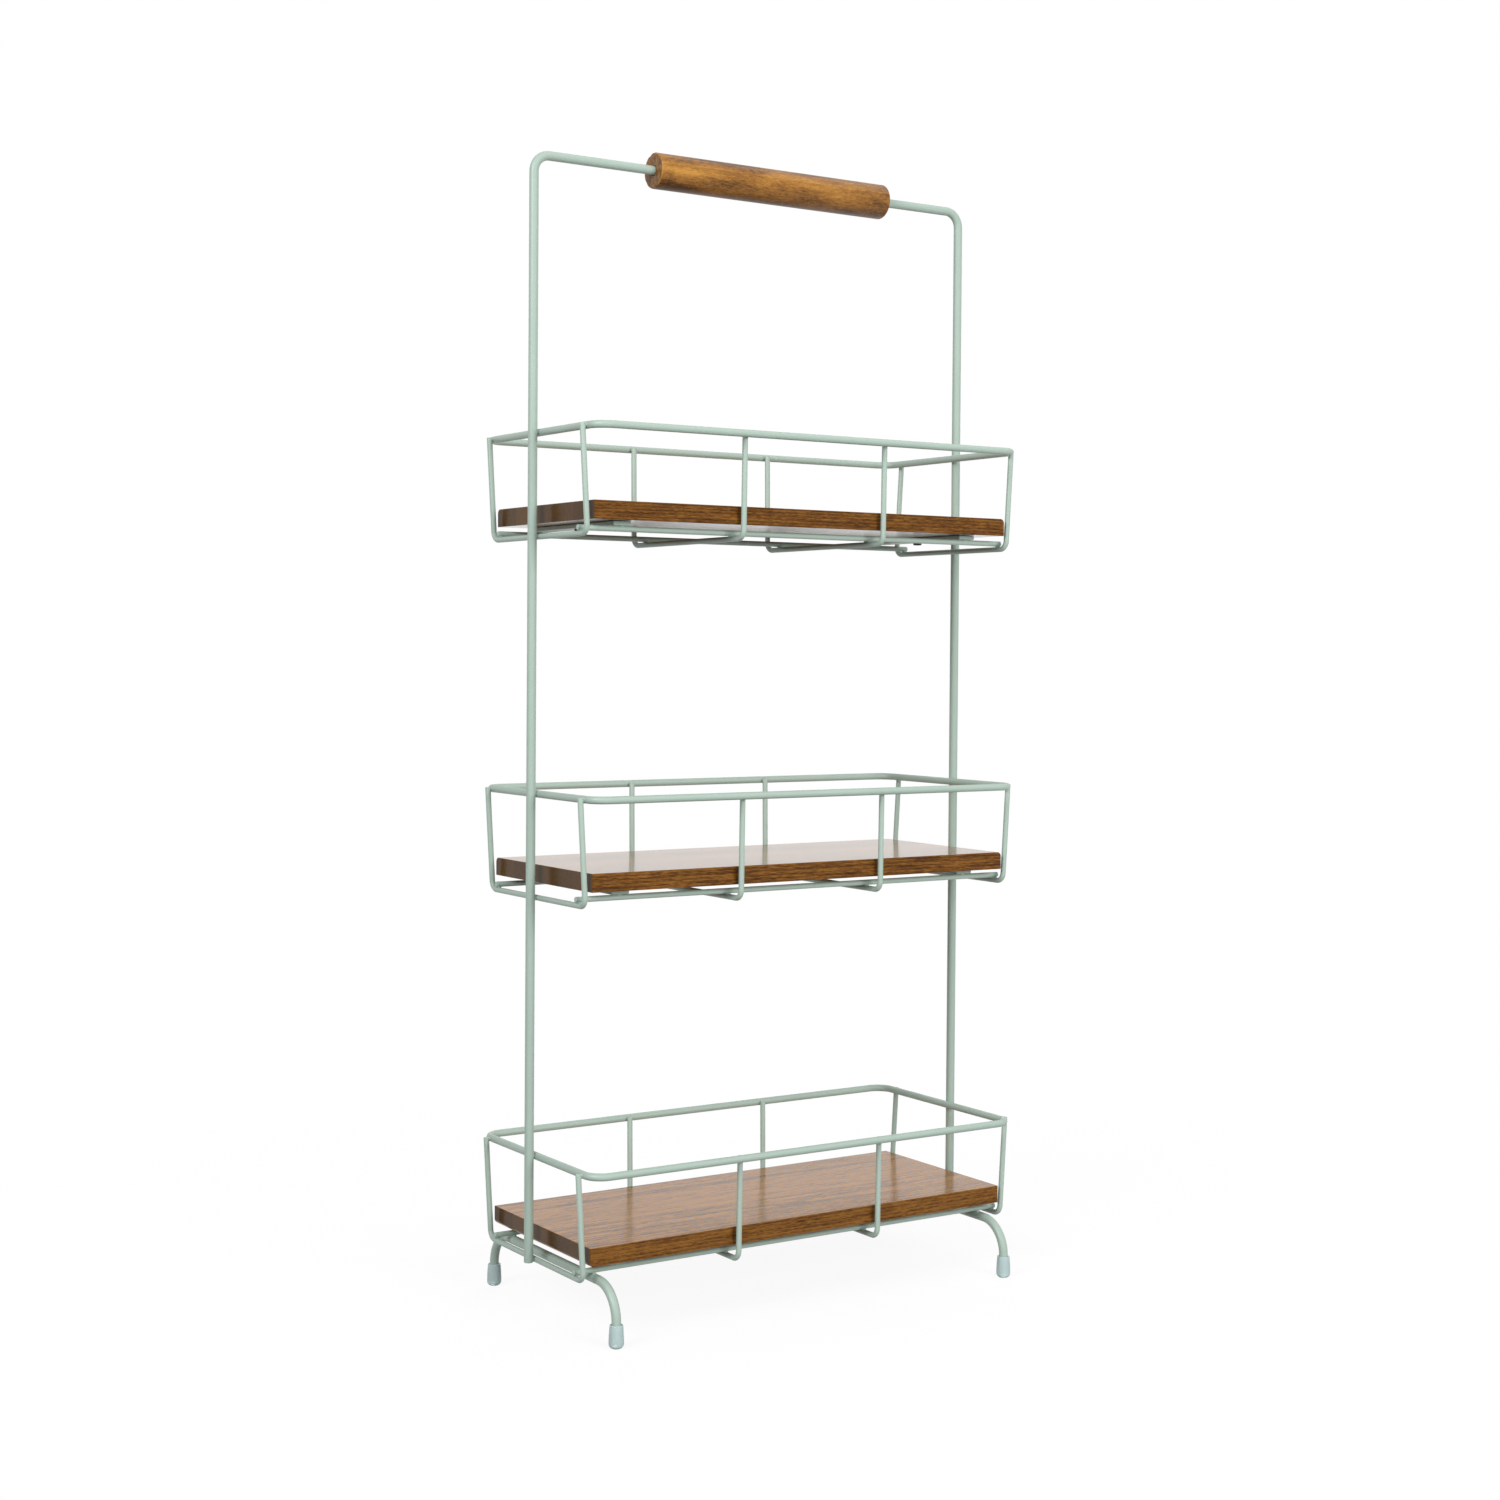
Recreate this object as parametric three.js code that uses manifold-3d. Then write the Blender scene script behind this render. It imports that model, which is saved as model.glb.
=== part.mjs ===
// Three-tier shelf stand: painted steel wire, wooden boards and a wooden carrying grip.
// Millimetres, +Z up. The origin is on the floor under the middle of the stand, the long side
// runs along X and the front faces -Y.

import * as THREE from 'three';
import { mergeVertices } from 'three/addons/utils/BufferGeometryUtils.js';
import Module from 'manifold-3d';

// Wire diameters, over the paint
const mainWire = 6.1;
const rimWire = 4.9;
const hoopWire = 3.7;

// Clearances
const weldGap = 0.2; // between two wires that are welded together
const stripGap = 0.2; // between a strip and the rails under it, and the board on it
const boardEndGap = 1.7; // from a board's end to the end hoop's bottom run
const boardSideGap = 2.25; // from a board's side to the mid hoops' posts
const gripPlay = 0.45; // round the bar in the grip's bore
const capFit = 0.15; // round the leg in the foot cap's socket
const screwClear = 0.25; // round a screw in its strip and its board

// Carrying frame, centrelines
const frameSpan = 347; // between the uprights
const frameBend = 11;
const handleRise = 179; // from the top rim up to the top bar
const frameTail = 1.4; // cut ends of the uprights, below the bottom tray's hoops

// Trays, centrelines
const lowerPitch = 236.5; // from the bottom rim up to the middle one
const upperPitch = 234.6; // from the middle rim up to the top one
const rimDepth = 152.4;
const rimCorner = 11.5;
const hoopDrop = 67.5; // from the rim down to the hoops' bottom runs
const hoopHead = 1.2; // from the rim up to the hoops' cut ends
const hoopBend = 6;
const endHoopSetback = 0.5; // from the rim's corner bend to the end hoops' posts
const midHoopLean = 1.1; // how far the mid hoops' posts lean in on their way down
const railSetback = 3.2; // from the hoops' bottom bend to the rail lying on their bottom run
const railOverhang = 2.2; // of a rail's cut end past the end hoop

// Flat cross strips
const stripWidth = 13.5;
const stripThick = 2.8;
const stripCorner = 1.5;
const stripInset = 29.4; // from the end hoop's bottom run to the strip's middle
const stripOverhang = 2.5; // of a strip's end past the rail

// Boards
const boardThick = 12;
const boardCorner = 1.3; // radius of the upright corners
const boardEase = 0.5; // rounding of the sanded edges
const boardRound = 3; // rounding of the rear edge: the top one, or the bottom one if turned over

// Screws, one in the middle of each strip
const screwShank = 3.2;
const screwLength = 9; // under the head
const screwPoint = 3;
const screwHead = 6.2;
const screwHeadHeight = 1.8;
const pilotSpare = 0.6; // of the board's hole past the screw's point

// Legs, centrelines
const legBend = 22;
const legInset = 12.7; // from the end hoop's bottom run
const legShoulder = 7.3; // straight run from the rail out to the bend
const legReveal = 0.6; // straight wire between the foot cap and the bend

// Foot caps
const capHeight = 15;
const capWidth = 9.9;
const capMouth = 8.5;
const capFlat = 5; // diameter of the flat that stands on the floor
const capFloor = 3.2; // thickness under the leg's cut end
const capRound = 3.4; // rounding of the lower edge
const capLip = 0.5; // rounding of the mouth

// Grip
const gripLength = 188;
const gripDiameter = 24;
const gripEase = 1.4; // rounding of the end arrises
const gripShift = 9.7; // as it lies, slid along the bar to the right

// Facets. Round sections have a multiple of four sides, so that they reach their full width.
const mainSides = 16;
const rimSides = 12;
const hoopSides = 12;
const bendSteps = 4; // in a quarter bend
const capSides = 16;
const gripSides = 32;
const screwSides = 12;
const easeSteps = 3; // in a rounded edge
const cornerSteps = 1; // in half of a board's or strip's corner

// Finishes
const finishes = {
  paint: { color: 0xa9beb1, roughness: 0.42, metalness: 0 },
  board: { color: 0x7a5330, roughness: 0.38, metalness: 0 },
  grip: { color: 0x9b6c38, roughness: 0.5, metalness: 0 },
  cap: { color: 0xb4c6cc, roughness: 0.45, metalness: 0 },
  screw: { color: 0x1d1c1b, roughness: 0.5, metalness: 0.4 },
};

// Places that follow from the sizes above
const uprightX = frameSpan / 2;
const rimX = uprightX - (mainWire + rimWire) / 2 - weldGap;
const rimY = rimDepth / 2;
const endHoopTopX = rimX + (rimWire + hoopWire) / 2 + weldGap;
const endHoopX = uprightX - (mainWire + hoopWire) / 2 - weldGap;
const endHoopY = rimY - rimCorner - endHoopSetback;
const midHoopX = endHoopX / 3; // the four hoops stand evenly along the tray
const midHoopTopY = rimY - (rimWire + hoopWire) / 2 - weldGap;
const midHoopY = midHoopTopY - midHoopLean;
const railY = endHoopY - hoopBend - railSetback;
const stripX = endHoopX - stripInset;
const legX = endHoopX - legInset;
const footY = railY + legShoulder + legBend;

// Heights inside a tray, from its rim
const railZ = -hoopDrop + hoopWire + weldGap;
const stripBottomZ = railZ + hoopWire / 2 + stripGap;
const stripTopZ = stripBottomZ + stripThick;
const boardBottomZ = stripTopZ + stripGap;

// Heights above the floor
const legTopZ = capHeight + legReveal + legBend;
const bottomRimZ = legTopZ + (mainWire + hoopWire) / 2 + weldGap - railZ;
const middleRimZ = bottomRimZ + lowerPitch;
const topRimZ = middleRimZ + upperPitch;
const barZ = topRimZ + handleRise;

const wasm = await Module();
wasm.setup();

// A wire bent on a jig: straight runs joined by round bends of one centreline radius. It is
// sampled at the ends of its runs and at even steps round its bends.
class BentWire extends THREE.Curve {
  constructor(corners, bendRadius) {
    super();
    this.stations = [];
    const last = corners.length - 1;
    for (let i = 1; i < last; i += 1) {
      this.addBend(corners[i - 1], corners[i], corners[i + 1], bendRadius);
    }
    const start = corners[1].clone().sub(corners[0]).normalize();
    const end = corners[last].clone().sub(corners[last - 1]).normalize();
    this.stations.unshift({ point: corners[0], tangent: start });
    this.stations.push({ point: corners[last], tangent: end });
    this.steps = this.stations.length - 1;
  }

  addBend(before, corner, after, radius) {
    const inward = corner.clone().sub(before).normalize();
    const outward = after.clone().sub(corner).normalize();
    const turn = inward.angleTo(outward);
    const side = outward.clone().addScaledVector(inward, -outward.dot(inward)).normalize();
    const start = corner.clone().addScaledVector(inward, -radius * Math.tan(turn / 2));
    const centre = start.clone().addScaledVector(side, radius);
    const steps = Math.ceil((turn / (Math.PI / 2)) * bendSteps - 0.5);
    for (let k = 0; k <= steps; k += 1) {
      const angle = (turn * k) / steps;
      const point = centre.clone()
        .addScaledVector(side, -radius * Math.cos(angle))
        .addScaledVector(inward, radius * Math.sin(angle));
      const tangent = inward.clone().multiplyScalar(Math.cos(angle))
        .addScaledVector(side, Math.sin(angle));
      this.stations.push({ point, tangent });
    }
  }

  stationAt(u) {
    return this.stations[Math.round(u * this.steps)];
  }

  getPointAt(u, target = new THREE.Vector3()) {
    return target.copy(this.stationAt(u).point);
  }

  getTangentAt(u, target = new THREE.Vector3()) {
    return target.copy(this.stationAt(u).tangent);
  }
}

// Merges the vertices that faces share, so that a geometry is one closed skin.
function closeSkin(geometry) {
  geometry.deleteAttribute('normal');
  geometry.deleteAttribute('uv');
  const closed = mergeVertices(geometry, 1e-3);
  closed.clearGroups();
  closed.computeVertexNormals();
  return closed;
}

function roundSection(diameter, sides) {
  const points = [];
  for (let i = 0; i < sides; i += 1) {
    const angle = (2 * Math.PI * i) / sides;
    points.push(new THREE.Vector2(Math.cos(angle), Math.sin(angle)).multiplyScalar(diameter / 2));
  }
  return new THREE.Shape(points);
}

function wire(corners, bendRadius, diameter, sides) {
  const path = new BentWire(corners, bendRadius);
  const section = roundSection(diameter, sides);
  return new THREE.ExtrudeGeometry(section, { steps: path.steps, extrudePath: path });
}

// A wire whose end meets its start: only the sweep's sides are kept, without the end faces.
function wireRing(corners, bendRadius, diameter, sides) {
  const sweep = wire(corners, bendRadius, diameter, sides);
  const { start, count } = sweep.groups[1];
  const sidePoints = sweep.getAttribute('position').array.slice(3 * start, 3 * (start + count));
  const ring = new THREE.BufferGeometry();
  ring.setAttribute('position', new THREE.BufferAttribute(sidePoints, 3));
  return ring;
}

// A U of wire whose posts pass the rim at (rimPostX, rimPostY) and bend into a bottom run.
function hoop(rimPostX, rimPostY, bottomX, bottomY) {
  const rise = (hoopHead + hoopDrop) / hoopDrop;
  const headX = bottomX + (rimPostX - bottomX) * rise;
  const headY = bottomY + (rimPostY - bottomY) * rise;
  const corners = [
    new THREE.Vector3(headX, -headY, hoopHead),
    new THREE.Vector3(bottomX, -bottomY, -hoopDrop),
    new THREE.Vector3(bottomX, bottomY, -hoopDrop),
    new THREE.Vector3(headX, headY, hoopHead),
  ];
  return wire(corners, hoopBend, hoopWire, hoopSides);
}

function rim() {
  const corners = [
    new THREE.Vector3(0, rimY, 0),
    new THREE.Vector3(-rimX, rimY, 0),
    new THREE.Vector3(-rimX, -rimY, 0),
    new THREE.Vector3(rimX, -rimY, 0),
    new THREE.Vector3(rimX, rimY, 0),
    new THREE.Vector3(0, rimY, 0),
  ];
  return wireRing(corners, rimCorner, rimWire, rimSides);
}

function rail(y) {
  const reach = endHoopX + railOverhang;
  const corners = [new THREE.Vector3(-reach, y, railZ), new THREE.Vector3(reach, y, railZ)];
  return wire(corners, hoopBend, hoopWire, hoopSides);
}

function carryingFrame() {
  const tailZ = bottomRimZ - hoopDrop - frameTail;
  const corners = [
    new THREE.Vector3(-uprightX, 0, tailZ),
    new THREE.Vector3(-uprightX, 0, barZ),
    new THREE.Vector3(uprightX, 0, barZ),
    new THREE.Vector3(uprightX, 0, tailZ),
  ];
  return wire(corners, frameBend, mainWire, mainSides);
}

function leg(x) {
  const endZ = capFloor + capFit;
  const corners = [
    new THREE.Vector3(x, -footY, endZ),
    new THREE.Vector3(x, -footY, legTopZ),
    new THREE.Vector3(x, footY, legTopZ),
    new THREE.Vector3(x, footY, endZ),
  ];
  return wire(corners, legBend, mainWire, mainSides);
}

// A rectangle with round corners, centred on the origin.
function roundedRectangle(length, width, radius) {
  const x = length / 2 - radius;
  const y = width / 2 - radius;
  const outline = new THREE.Shape();
  outline.absarc(x, y, radius, 0, Math.PI / 2);
  outline.absarc(-x, y, radius, Math.PI / 2, Math.PI);
  outline.absarc(-x, -y, radius, Math.PI, 1.5 * Math.PI);
  outline.absarc(x, -y, radius, 1.5 * Math.PI, 2 * Math.PI);
  return outline;
}

function strip() {
  const length = 2 * (railY + stripOverhang);
  const outline = roundedRectangle(stripWidth, length, stripCorner);
  outline.holes.push(roundSection(screwShank + 2 * screwClear, screwSides));
  const options = { depth: stripThick, bevelEnabled: false, curveSegments: cornerSteps };
  return new THREE.ExtrudeGeometry(outline, options);
}

function toSolid(geometry) {
  const skin = closeSkin(geometry);
  const vertProperties = skin.getAttribute('position').array;
  const triVerts = Uint32Array.from(skin.getIndex().array);
  return new wasm.Manifold(new wasm.Mesh({ numProp: 3, vertProperties, triVerts }));
}

function fromSolid(solid) {
  const { vertProperties, triVerts } = solid.getMesh();
  const geometry = new THREE.BufferGeometry();
  geometry.setAttribute('position', new THREE.BufferAttribute(vertProperties, 3));
  geometry.setIndex(new THREE.BufferAttribute(triVerts, 1));
  return geometry;
}

// A cutter that rounds over the edge at (y, z) that runs along X.
function roundOverCutter(y, z, run) {
  const profile = new THREE.Shape();
  profile.moveTo(boardEase, boardEase);
  profile.lineTo(-boardRound, boardEase);
  profile.absarc(-boardRound, -boardRound, boardRound, Math.PI / 2, 0, true);
  profile.lineTo(boardEase, -boardRound);
  const options = { depth: run, bevelEnabled: false, curveSegments: easeSteps };
  const cutter = new THREE.ExtrudeGeometry(profile, options);
  cutter.translate(0, 0, -run / 2);
  cutter.rotateX(Math.PI / 2);
  cutter.rotateZ(Math.PI / 2);
  cutter.translate(0, y, z);
  return cutter;
}

// A board with eased edges and one rounded edge, the right way up or turned over, and a hole in
// its underside for each screw. Its bottom is at Z = 0.
function board(turnedOver) {
  const length = 2 * (endHoopX - hoopWire / 2 - boardEndGap);
  const width = 2 * (midHoopY - hoopWire / 2 - boardSideGap);
  const outline = roundedRectangle(
    length - 2 * boardEase, width - 2 * boardEase, boardCorner - boardEase,
  );
  const slab = new THREE.ExtrudeGeometry(outline, {
    depth: boardThick - 2 * boardEase,
    bevelThickness: boardEase,
    bevelSize: boardEase,
    bevelSegments: easeSteps,
    curveSegments: cornerSteps,
  });
  slab.translate(0, 0, boardEase);
  let solid = toSolid(slab).subtract(toSolid(roundOverCutter(width / 2, boardThick, 2 * length)));
  if (turnedOver) {
    solid = solid.rotate([0, 180, 0]).translate([0, 0, boardThick]);
  }
  const bite = screwLength - stripThick - stripGap + pilotSpare;
  const radius = screwShank / 2 + screwClear;
  for (const x of [-stripX, stripX]) {
    const drill = new THREE.CylinderGeometry(radius, radius, 2 * bite, screwSides);
    drill.rotateX(Math.PI / 2);
    drill.translate(x, 0, 0);
    solid = solid.subtract(toSolid(drill));
  }
  return fromSolid(solid);
}

// Points round a quarter circle, for a turned profile.
function quarter(centreX, centreY, radius, fromAngle, toAngle) {
  const arc = new THREE.EllipseCurve(
    centreX, centreY, radius, radius, fromAngle, toAngle, fromAngle > toAngle,
  );
  return arc.getPoints(easeSteps);
}

// A pan-head wood screw, point up, with the underside of its head at Y = 0 of the profile.
function screw() {
  const dome = screwHeadHeight / 2;
  const profile = [
    new THREE.Vector2(0, -screwHeadHeight),
    ...quarter(screwHead / 2 - dome, -dome, dome, -Math.PI / 2, 0),
    new THREE.Vector2(screwHead / 2, 0),
    new THREE.Vector2(screwShank / 2, 0),
    new THREE.Vector2(screwShank / 2, screwLength - screwPoint),
    new THREE.Vector2(0, screwLength),
  ];
  return new THREE.LatheGeometry(profile, screwSides);
}

// A soft cap, widest low down, with a socket for the leg and a small flat on the floor.
function footCap() {
  const socket = mainWire / 2 + capFit;
  const sideTop = new THREE.Vector2(capMouth / 2, capHeight - capLip);
  const sideFoot = new THREE.Vector2(capWidth / 2, capRound);
  const swell = new THREE.Vector2(capWidth / 2, capHeight / 2);
  const side = new THREE.QuadraticBezierCurve(sideFoot, swell, sideTop);
  const heel = new THREE.QuadraticBezierCurve(
    new THREE.Vector2(capFlat / 2, 0), new THREE.Vector2(capWidth / 2, 0), sideFoot,
  );
  const profile = [
    new THREE.Vector2(0, 0),
    ...heel.getPoints(easeSteps),
    ...side.getPoints(easeSteps).slice(1),
    new THREE.Vector2(capMouth / 2 - capLip, capHeight),
    new THREE.Vector2(socket, capHeight),
    new THREE.Vector2(socket, capFloor),
    new THREE.Vector2(0, capFloor),
  ];
  return new THREE.LatheGeometry(profile, capSides);
}

// A drilled round dowel with rounded arrises, turned about the profile's Y axis.
function grip() {
  const bore = mainWire / 2 + gripPlay;
  const outer = gripDiameter / 2;
  const end = gripLength / 2;
  const profile = [
    new THREE.Vector2(bore, -end),
    ...quarter(outer - gripEase, -end + gripEase, gripEase, -Math.PI / 2, 0),
    ...quarter(outer - gripEase, end - gripEase, gripEase, 0, Math.PI / 2),
    new THREE.Vector2(bore, end),
    new THREE.Vector2(bore, -end),
  ];
  return new THREE.LatheGeometry(profile, gripSides);
}

function addPiece(parent, name, geometry, finish) {
  const material = new THREE.MeshStandardMaterial(finishes[finish]);
  const mesh = new THREE.Mesh(closeSkin(geometry), material);
  mesh.name = name;
  parent.add(mesh);
  return mesh;
}

// One tray with its board, in heights from its rim.
function tray(tier) {
  const group = new THREE.Group();
  addPiece(group, `${tier}_rim`, rim(), 'paint');
  for (const [sideName, side] of [['left', -1], ['right', 1]]) {
    const endHoop = hoop(side * endHoopTopX, endHoopY, side * endHoopX, endHoopY);
    const midHoop = hoop(side * midHoopX, midHoopTopY, side * midHoopX, midHoopY);
    addPiece(group, `${tier}_end_hoop_${sideName}`, endHoop, 'paint');
    addPiece(group, `${tier}_mid_hoop_${sideName}`, midHoop, 'paint');
    const crossStrip = addPiece(group, `${tier}_strip_${sideName}`, strip(), 'paint');
    crossStrip.position.set(side * stripX, 0, stripBottomZ);
    const stripScrew = addPiece(group, `${tier}_screw_${sideName}`, screw(), 'screw');
    stripScrew.rotation.x = Math.PI / 2;
    stripScrew.position.set(side * stripX, 0, stripBottomZ - stripGap);
  }
  addPiece(group, `${tier}_rail_front`, rail(-railY), 'paint');
  addPiece(group, `${tier}_rail_rear`, rail(railY), 'paint');
  const shelf = addPiece(group, `${tier}_board`, board(tier === 'bottom'), 'board');
  shelf.position.z = boardBottomZ;
  return group;
}

// One leg with its two foot caps.
function legWithCaps(sideName, x) {
  const group = new THREE.Group();
  addPiece(group, `leg_${sideName}`, leg(x), 'paint');
  for (const [place, y] of [['front', -footY], ['rear', footY]]) {
    const cap = addPiece(group, `foot_cap_${sideName}_${place}`, footCap(), 'cap');
    cap.rotation.x = Math.PI / 2;
    cap.position.set(x, y, 0);
  }
  return group;
}

const stand = new THREE.Group();
addPiece(stand, 'carrying_frame', carryingFrame(), 'paint');
const handle = addPiece(stand, 'handle_grip', grip(), 'grip');
handle.rotation.z = -Math.PI / 2;
handle.position.set(gripShift, 0, barZ);
for (const [tier, rimZ] of [['bottom', bottomRimZ], ['middle', middleRimZ], ['top', topRimZ]]) {
  const group = tray(tier);
  group.position.z = rimZ;
  stand.add(group);
}
stand.add(legWithCaps('left', -legX), legWithCaps('right', legX));

export default stand;
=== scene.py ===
"""Looks of a three-tier shelf stand: painted wire trays, wooden boards and a carrying grip.

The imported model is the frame. Every piece takes its place and its main sizes from the node that it
stands for, and rides on that node's body. Metres, Z up, the front faces -Y.
"""

import math

import bmesh
import bpy
from bpy.props import FloatProperty, FloatVectorProperty, IntProperty, PointerProperty
from mathutils import Matrix, Vector, noise


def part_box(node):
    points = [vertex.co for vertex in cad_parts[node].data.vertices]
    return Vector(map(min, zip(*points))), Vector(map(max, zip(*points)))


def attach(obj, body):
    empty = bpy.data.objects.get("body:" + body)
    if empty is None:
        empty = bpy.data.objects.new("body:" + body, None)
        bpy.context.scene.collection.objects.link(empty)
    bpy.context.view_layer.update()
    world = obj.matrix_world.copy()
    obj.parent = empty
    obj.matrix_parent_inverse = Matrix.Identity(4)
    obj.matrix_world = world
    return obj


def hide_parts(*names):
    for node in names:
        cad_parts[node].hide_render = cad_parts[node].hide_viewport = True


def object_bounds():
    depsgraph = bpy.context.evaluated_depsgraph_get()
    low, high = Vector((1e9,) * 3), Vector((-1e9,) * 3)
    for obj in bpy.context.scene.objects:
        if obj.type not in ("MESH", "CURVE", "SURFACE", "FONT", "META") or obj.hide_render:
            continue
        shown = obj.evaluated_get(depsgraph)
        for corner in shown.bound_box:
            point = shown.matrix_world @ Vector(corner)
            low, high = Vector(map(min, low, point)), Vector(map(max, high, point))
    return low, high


bl_info = {
    "name": "Three-tier shelf stand",
    "version": (1, 0, 0),
    "blender": (4, 5, 0),
    "location": "3D View > Sidebar > Shelf stand",
    "description": "Models the looks of a three-tier shelf stand round its packed frame",
    "category": "Object",
}

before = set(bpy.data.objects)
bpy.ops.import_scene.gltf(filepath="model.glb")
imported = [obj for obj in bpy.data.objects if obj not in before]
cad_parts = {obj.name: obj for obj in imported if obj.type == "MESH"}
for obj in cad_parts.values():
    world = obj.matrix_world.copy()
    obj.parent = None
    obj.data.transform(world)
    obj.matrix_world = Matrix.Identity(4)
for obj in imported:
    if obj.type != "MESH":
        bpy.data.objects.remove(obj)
cad_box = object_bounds()

MM = 0.001
TIERS = ("bottom", "middle", "top")
LEFT_RIGHT = {"left": -1, "right": 1}
FRONT_REAR = {"front": -1, "rear": 1}
X_AXIS = Vector((1, 0, 0))
Y_AXIS = Vector((0, 1, 0))
Z_AXIS = Vector((0, 0, 1))
SHARP_ANGLE = math.radians(40)  # edges with a wider angle stay crisp
MERGE = 0.01 * MM  # vertices that are closer than this are one


def box_size(node):
    low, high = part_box(node)
    return high - low


def box_middle(node):
    low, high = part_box(node)
    return (low + high) / 2


# Sizes that the frame gives
MAIN_WIRE = box_size("carrying_frame").y
RIM_WIRE = box_size("top_rim").z
HOOP_WIRE = box_size("top_rail_front").z
TIER_PITCH = box_middle("top_board").z - box_middle("middle_board").z


def linear(srgb):
    """The linear RGBA of an sRGB hex colour such as #a9c0b3."""
    channels = [int(srgb[i : i + 2], 16) / 255 for i in (1, 3, 5)]
    return [c / 12.92 if c <= 0.04045 else ((c + 0.055) / 1.055) ** 2.4 for c in channels] + [1]


def length(name, description, millimetres):
    """A length that a user may change, given in millimetres and kept in metres."""
    return FloatProperty(
        name=name, description=description, default=millimetres * MM, min=0, precision=5,
        subtype="DISTANCE", unit="LENGTH",
    )


def angle(name, description, degrees):
    """An angle that a user may change, given in degrees."""
    return FloatProperty(
        name=name, description=description, default=math.radians(degrees), subtype="ANGLE",
    )


def factor(name, description, default):
    """A share, from 0 to 1, that a user may change."""
    return FloatProperty(
        name=name, description=description, default=default, min=0, max=1, subtype="FACTOR",
    )


def colour(name, description, srgb):
    """A colour that a user may change."""
    return FloatVectorProperty(
        name=name, description=description, default=linear(srgb), size=4, min=0, max=1,
        subtype="COLOR",
    )


class WireSettings(bpy.types.PropertyGroup):
    """Bends and ends of the wires"""

    frame_bend: length("Frame bend", "Centreline radius of the carrying frame's two bends", 11)
    rim_corner: length("Rim corner", "Centreline radius of a rim's corners", 11.5)
    hoop_bend: length("Hoop bend", "Centreline radius of a hoop's two bends", 6)
    leg_bend: length("Leg bend", "Centreline radius of a leg's two bends", 22)
    mid_hoop_lean: length("Mid hoop lean", "How far a mid hoop's posts lean in on their way down", 1.1)
    cut_edge: length("Cut edge", "Rounding that the paint gives to a wire's cut end", 0.5)
    weld_spread: length("Weld spread", "Half width of a weld along the wires that it joins", 1.7)
    weld_depth: length("Weld depth", "Half height of a weld between its two wires", 1.0)
    sides: IntProperty(name="Sides", description="Sides of a wire's section", default=28, min=8)
    bend_steps: IntProperty(name="Bend steps", description="Steps in a quarter bend", default=12, min=3)


class StripSettings(bpy.types.PropertyGroup):
    """Flat cross strips under the boards"""

    corner: length("Corner", "Radius of a strip's corners", 1.5)
    edge: length("Edge", "Rounding of a strip's edges, under the paint", 0.45)
    hole: length("Hole", "Diameter of a screw hole", 3.7)


class BoardSettings(bpy.types.PropertyGroup):
    """Wooden boards"""

    edge: length("Edge", "Rounding of the sanded edges", 0.5)
    round_edge: length("Round edge", "Rounding of the rear edge and of one end", 3)
    stave: length("Stave", "Width of the staves that a board is glued up from", 26.6)
    pilot: length("Pilot", "Diameter of a screw's hole in the underside", 3.7)
    pilot_depth: length("Pilot depth", "Depth of a screw's hole", 6.6)


class GripSettings(bpy.types.PropertyGroup):
    """Wooden carrying grip"""

    bore_play: length("Bore play", "Room round the bar in the grip's bore", 0.45)
    edge: length("Edge", "Rounding of the end arrises", 1.2)
    bore_edge: length("Bore edge", "Rounding of the bore's mouth", 0.4)
    chip: length("Chip", "Depth of the knocks along the left arris", 0.7)


class CapSettings(bpy.types.PropertyGroup):
    """Soft foot caps"""

    mouth: length("Mouth", "Outer diameter at the mouth", 8.5)
    belly: length("Belly", "Outer diameter half way up", 9.7)
    heel: length("Heel", "Rounding of the lower edge", 3.2)
    lip: length("Lip", "Rounding of the mouth", 0.45)
    floor: length("Floor", "Thickness under the leg's cut end", 3.2)
    fit: length("Fit", "Room round the leg in the socket", 0.15)


class ScrewSettings(bpy.types.PropertyGroup):
    """Pan-head screws"""

    head_height: length("Head height", "Height of the head", 1.8)
    dome: length("Dome", "Rounding of the head's rim", 0.9)
    shank: length("Shank", "Diameter of the shank", 3.2)
    point: length("Point", "Length of the point", 3)
    crown: length("Crown", "Diameter of the flat round the recess", 4.2)
    recess: length("Recess", "Span of the cross recess", 3)
    recess_depth: length("Recess depth", "Depth of the cross recess", 1.2)


class FinishSettings(bpy.types.PropertyGroup):
    """Colours of the finishes"""

    paint: colour("Paint", "Powder coat", "#a6b8ad")
    paint_thin: colour("Thin paint", "Powder coat where it lies thinner", "#a0b2a7")
    board_dark: colour("Board, dark", "Stained latewood and pores of the boards", "#3b220e")
    board_mid: colour("Board, middle", "Stained wood of the boards", "#7a4d1d")
    board_light: colour("Board, light", "Golden earlywood of the boards", "#ab7533")
    board_end: colour("Board, end grain", "End grain, which drinks more stain", "#523716")
    board_end_dark: colour("Board, dark end grain", "Latewood of the end grain", "#38240e")
    arris: colour("Arris", "Sanded arrises, where the stain is thin", "#b0783a")
    grip_dark: colour("Grip, dark", "Flecks of the grip's wood", "#4c2e12")
    grip_mid: colour("Grip, middle", "Stained wood of the grip", "#93632a")
    grip_light: colour("Grip, light", "Pale streaks of the grip's wood", "#bb873e")
    grip_end: colour("Grip, end grain", "End grain of the grip", "#5d3e20")
    cap: colour("Foot cap", "Soft clear vinyl", "#c4d8d8")
    screw: colour("Screw", "Black phosphate", "#191817")
    floor: colour("Floor", "Studio floor and backdrop", "#ffffff")


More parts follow.
